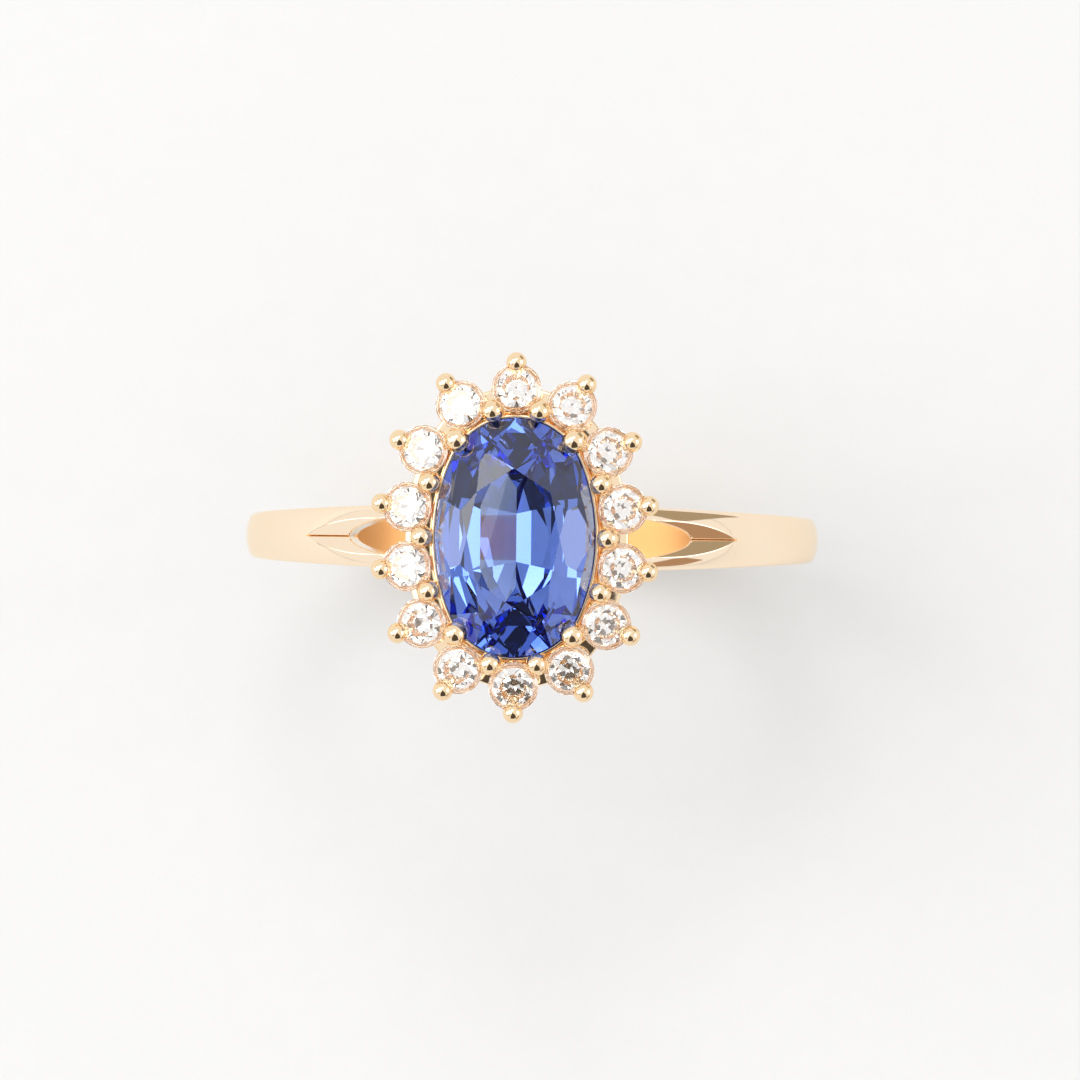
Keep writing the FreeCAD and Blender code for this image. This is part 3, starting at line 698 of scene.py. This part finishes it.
def build_claws():
    """An inner claw between each pair of small stones, and an outer claw outside each."""
    for i in range(HALO_COUNT):
        kind = "corner" if i in CORNER_CLAWS else "end" if i in END_CLAWS else "side"
        point, normal = oval_station(HALO_OFFSET, (i + 0.5) / HALO_COUNT)
        tip = point + normal * (INNER_OFFSETS[kind] - HALO_OFFSET) + UP * INNER_TOPS[kind]
        foot = point + normal * (INNER_FOOT_OFFSET - HALO_OFFSET) + UP * INNER_FOOT_LEVEL
        bead = CORNER_BEAD if kind == "corner" else INNER_BEAD
        build_claw(f"inner_claw_{i + 1:02d}", foot, tip, INNER_WIRE, bead)
        point, normal = oval_station(HALO_OFFSET, i / HALO_COUNT)
        tip = point + normal * OUTER_OFFSET + UP * OUTER_TOP
        foot = point + normal * (OUTER_OFFSET - OUTER_RUN) + UP * OUTER_FOOT
        build_claw(f"outer_claw_{i + 1:02d}", foot, tip, OUTER_WIRE, OUTER_BEAD)


# ---------------------------------------------------------------- stones


def dress_stones():
    """The stones keep their CAD facets."""
    for name, node in frame["nodes"].items():
        if name == "centre_sapphire" or name.startswith("halo_diamond"):
            material = SAPPHIRE if name == "centre_sapphire" else DIAMOND
            for slot in node.material_slots:
                slot.material = material


# ---------------------------------------------------------------- studio

FLOOR_HALF_SIZE = 1.2
SOFTBOX_DISTANCE = 0.75
FAR, NEAR = 0.8, 0.06  # radii of the domes round the ring that the flags lie on


def aim(thing, place, target, roll=0.0):
    """Puts a camera or lamp at place, looking at target, with +Y up in its picture."""
    back = (place - target).normalized()
    right = Vector((0, 1, 0)).cross(back).normalized()
    turn = Matrix((right, back.cross(right), back)).transposed()
    thing.location = place
    thing.rotation_mode = "QUATERNION"
    thing.rotation_quaternion = turn.to_quaternion() @ Quaternion((0, 0, 1), roll)


def direction(lean, azimuth):
    """The direction that leans from the zenith by lean degrees, towards azimuth degrees from +X."""
    lean, azimuth = math.radians(lean), math.radians(azimuth)
    return Vector((math.sin(lean) * math.cos(azimuth), math.sin(lean) * math.sin(azimuth), math.cos(lean)))


def build_floor():
    """A plain sheet of pale paper under the ring."""
    material, nodes, links, shader = new_material("floor_paper")
    grain = noise(nodes, links, PAPER_GRAIN)
    tint = blend(nodes, links, grain, (0.668, 0.668, 0.668), (0.688, 0.688, 0.688))
    links.new(tint, shader.inputs["Base Color"])
    shader.inputs["Roughness"].default_value = 0.85
    half = FLOOR_HALF_SIZE
    bm = bmesh.new()
    corners = ((-half, -half), (half, -half), (half, half), (-half, half))
    bm.faces.new([bm.verts.new((x, y, shank_low.z)) for x, y in corners])
    mesh = bpy.data.meshes.new("floor")
    bm.to_mesh(mesh)
    bm.free()
    mesh.materials.append(material)
    floor = bpy.data.objects.new("floor", mesh)
    bpy.context.scene.collection.objects.link(floor)


def build_flag(name, edges, tint, radius):
    """A dark card over part of a dome round the ring. Each edge is a pair of (lean, azimuth)."""
    material, nodes, links, _ = new_material(name)
    grain = noise(nodes, links, CARD_GRAIN)
    dark = tuple(part * 0.8 for part in tint)
    light = tuple(part * 1.2 for part in tint)
    emission = nodes.new("ShaderNodeEmission")
    links.new(blend(nodes, links, grain, dark, light), emission.inputs["Color"])
    links.new(emission.outputs["Emission"], nodes["Material Output"].inputs["Surface"])
    bm = bmesh.new()
    rows = []
    steps = 8
    for left, right in edges:
        row = [direction(*left).slerp(direction(*right), step / steps) * radius for step in range(steps + 1)]
        rows.append(row)
    skin(bm, rows, wrap_points=False)
    mesh = bpy.data.meshes.new(name)
    bm.to_mesh(mesh)
    bm.free()
    mesh.materials.append(material)
    flag = bpy.data.objects.new(name, mesh)
    bpy.context.scene.collection.objects.link(flag)
    flag.visible_camera = False
    flag.visible_diffuse = False
    flag.visible_shadow = False


def build_softbox(name, lean, azimuth, side, radiance):
    """A square softbox on the dome round the ring, which fills side radians of it."""
    lamp = bpy.data.lights.new(name, "AREA")
    lamp.shape = "SQUARE"
    lamp.size = side * SOFTBOX_DISTANCE
    lamp.energy = radiance * math.pi * lamp.size**2
    softbox = bpy.data.objects.new(name, lamp)
    bpy.context.scene.collection.objects.link(softbox)
    aim(softbox, direction(lean, azimuth) * SOFTBOX_DISTANCE, Vector((0, 0, 0)))
    softbox.visible_camera = False


def build_world():
    """An even, slightly warm white light from all round."""
    world = bpy.data.worlds.new("studio")
    world.use_nodes = True
    background = world.node_tree.nodes["Background"]
    background.inputs["Color"].default_value = (1.0, 0.995, 0.985, 1)
    background.inputs["Strength"].default_value = 0.95
    bpy.context.scene.world = world


def build_camera():
    """Above the head, a little towards +X, with the ring turned slightly in the picture."""
    camera = bpy.data.objects.new("camera", bpy.data.cameras.new("camera"))
    bpy.context.scene.collection.objects.link(camera)
    lean, roll, distance, field = math.radians(3), math.radians(0.6), 0.243, 0.0365
    camera.data.sensor_width = 36.0
    camera.data.lens = camera.data.sensor_width * distance / field
    camera.data.clip_start = 0.01
    head = Vector((0.86 * MM, -0.07 * MM, 11.45 * MM))
    aim(camera, head + Vector((math.sin(lean), 0, math.cos(lean))) * distance, head, roll)
    bpy.context.scene.camera = camera


def build_studio():
    """The light, floor and camera, with dark cards for the gold and the stones to reflect."""
    build_world()
    build_floor()
    build_camera()
    build_softbox("key_softbox", 32, 158, 0.62, 2.8)
    build_softbox("back_softbox", 33, 92, 0.3, 4.0)
    build_softbox("left_softbox", 64, 184, 0.5, 1.9)
    build_softbox("right_softbox", 64, 4, 0.5, 1.8)
    body = [((4, 130), (4, 60)), ((4, 200), (5, -20)), ((14, -130), (14, -26))]
    body += [((28, -128), (30, -32)), ((44, -122), (42, -40)), ((70, -110), (70, -55))]
    build_flag("photographer_flag", body, (0.09, 0.077, 0.065), FAR)
    arm = [((46, 215), (50, 222)), ((66, 196), (70, 201)), ((92, 184), (95, 188)), ((112, 176), (114, 180))]
    build_flag("arm_flag", arm, (0.08, 0.068, 0.055), FAR)
    build_flag("south_east_flag", [((68, -64), (68, -32)), ((80, -64), (80, -32))], (0.42, 0.27, 0.17), NEAR)
    build_flag("north_east_flag", [((68, 32), (68, 64)), ((100, 32), (100, 64))], (0.42, 0.35, 0.25), NEAR)
    bpy.context.scene.view_settings.view_transform = "Standard"
    cycles = bpy.context.scene.cycles
    cycles.max_bounces = 40  # light bounces many times inside the stones and their cups
    cycles.transmission_bounces = 40
    cycles.glossy_bounces = 20


# ---------------------------------------------------------------- the ring

build_shank()
build_rails()
build_cups()
build_claws()
dress_stones()
build_studio()
